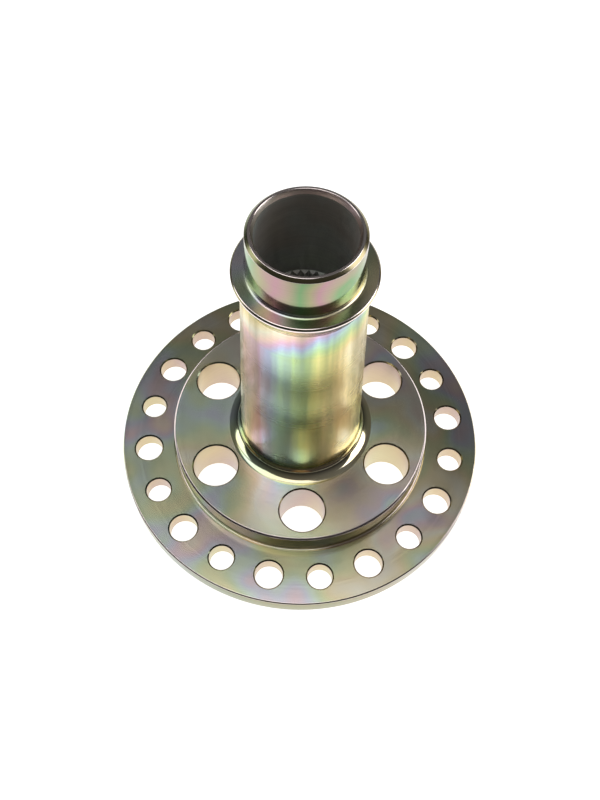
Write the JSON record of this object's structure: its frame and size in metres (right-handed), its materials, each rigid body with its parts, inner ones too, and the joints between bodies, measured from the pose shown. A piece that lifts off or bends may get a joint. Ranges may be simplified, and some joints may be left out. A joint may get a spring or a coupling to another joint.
{
  "type": "full spool",
  "caption": "Rigid one-piece spool for a drive axle: ring-gear flange, drilled web, tapered bearing tube and splined bore.",
  "frame": {"origin": "where the spin axis crosses the ring-gear seat on the flange", "axes": "+Z along the spin axis towards the long bearing tube; one web hole and one half-inch bolt hole lie on +X"},
  "size_m": [0.1778, 0.1778, 0.1876],
  "materials": {
    "plated_steel": "turned steel with an iridescent yellow zinc plating"
  },
  "bodies": {
    "root": {"differential_spool": "plated_steel"}
  },
  "joints": []
}
